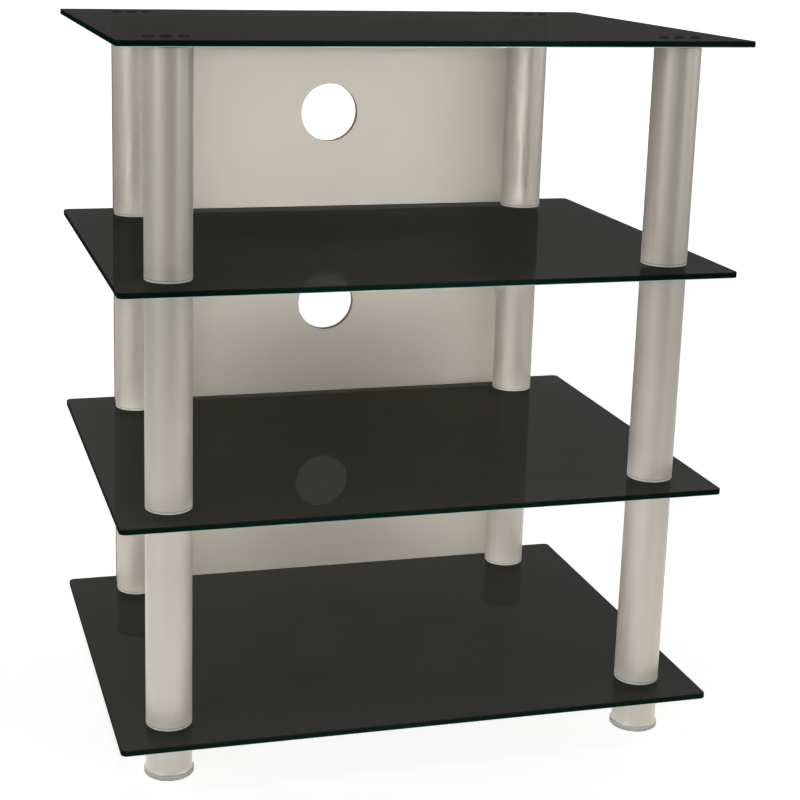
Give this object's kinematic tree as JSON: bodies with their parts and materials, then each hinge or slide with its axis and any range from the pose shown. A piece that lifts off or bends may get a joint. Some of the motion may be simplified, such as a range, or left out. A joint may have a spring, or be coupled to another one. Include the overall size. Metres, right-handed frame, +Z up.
{
  "type": "tv and media rack",
  "caption": "Tall media rack: smoked black glass shelves on silver tube posts, a grey panel with a round cable hole behind each bay, short flared feet.",
  "frame": {"origin": "on the floor, under the middle of the shelves", "axes": "+Z up, the open front faces -Y, +X to the right seen from the front"},
  "size_m": [0.6, 0.443, 0.712],
  "materials": {
    "smoked_glass": "dark smoked float glass with polished green-black edges",
    "satin_tube": "satin silver, fine brushing along the tube",
    "pale_plastic": "pale grey moulded plastic",
    "black_plastic": "black moulded plastic",
    "insert_brass": "turned brass",
    "zinc_steel": "zinc plated steel",
    "natural_nylon": "natural nylon",
    "grey_rubber": "soft grey rubber",
    "grey_board": "fibreboard with a warm grey coating and bare brown cut edges in the hole"
  },
  "bodies": {
    "root": {"top_shelf": "smoked_glass", "upper_shelf": "smoked_glass", "lower_shelf": "smoked_glass", "base_shelf": "smoked_glass", "upper_tube_front_left": "satin_tube", "upper_tube_front_right": "satin_tube", "upper_tube_rear_left": "satin_tube", "upper_tube_rear_right": "satin_tube", "middle_tube_front_left": "satin_tube", "middle_tube_front_right": "satin_tube", "middle_tube_rear_left": "satin_tube", "middle_tube_rear_right": "satin_tube", "lower_tube_front_left": "satin_tube", "lower_tube_front_right": "satin_tube", "lower_tube_rear_left": "satin_tube", "lower_tube_rear_right": "satin_tube", "foot_tube_front_left": "satin_tube", "foot_tube_front_right": "satin_tube", "foot_tube_rear_left": "satin_tube", "foot_tube_rear_right": "satin_tube", "glide_front_left": "satin_tube", "glide_front_right": "satin_tube", "glide_rear_left": "satin_tube", "glide_rear_right": "satin_tube", "pad_front_left": "grey_rubber", "pad_front_right": "grey_rubber", "pad_rear_left": "grey_rubber", "pad_rear_right": "grey_rubber", "upper_tube_bottom_plugs": "pale_plastic", "middle_tube_bottom_plugs": "pale_plastic", "lower_tube_bottom_plugs": "pale_plastic", "upper_tube_top_plugs": "black_plastic", "middle_tube_top_plugs": "black_plastic", "lower_tube_top_plugs": "black_plastic", "foot_tube_top_plugs": "black_plastic", "upper_tube_bottom_inserts": "insert_brass", "middle_tube_bottom_inserts": "insert_brass", "lower_tube_bottom_inserts": "insert_brass", "upper_tube_top_inserts": "insert_brass", "middle_tube_top_inserts": "insert_brass", "lower_tube_top_inserts": "insert_brass", "foot_tube_top_inserts": "insert_brass", "top_shelf_discs": "zinc_steel", "upper_shelf_studs": "zinc_steel", "lower_shelf_studs": "zinc_steel", "base_shelf_studs": "zinc_steel", "upper_shelf_bushes": "natural_nylon", "lower_shelf_bushes": "natural_nylon", "base_shelf_bushes": "natural_nylon", "upper_panel": "grey_board", "middle_panel": "grey_board", "lower_panel": "grey_board", "upper_panel_screws": "zinc_steel", "middle_panel_screws": "zinc_steel", "lower_panel_screws": "zinc_steel"}
  },
  "joints": []
}
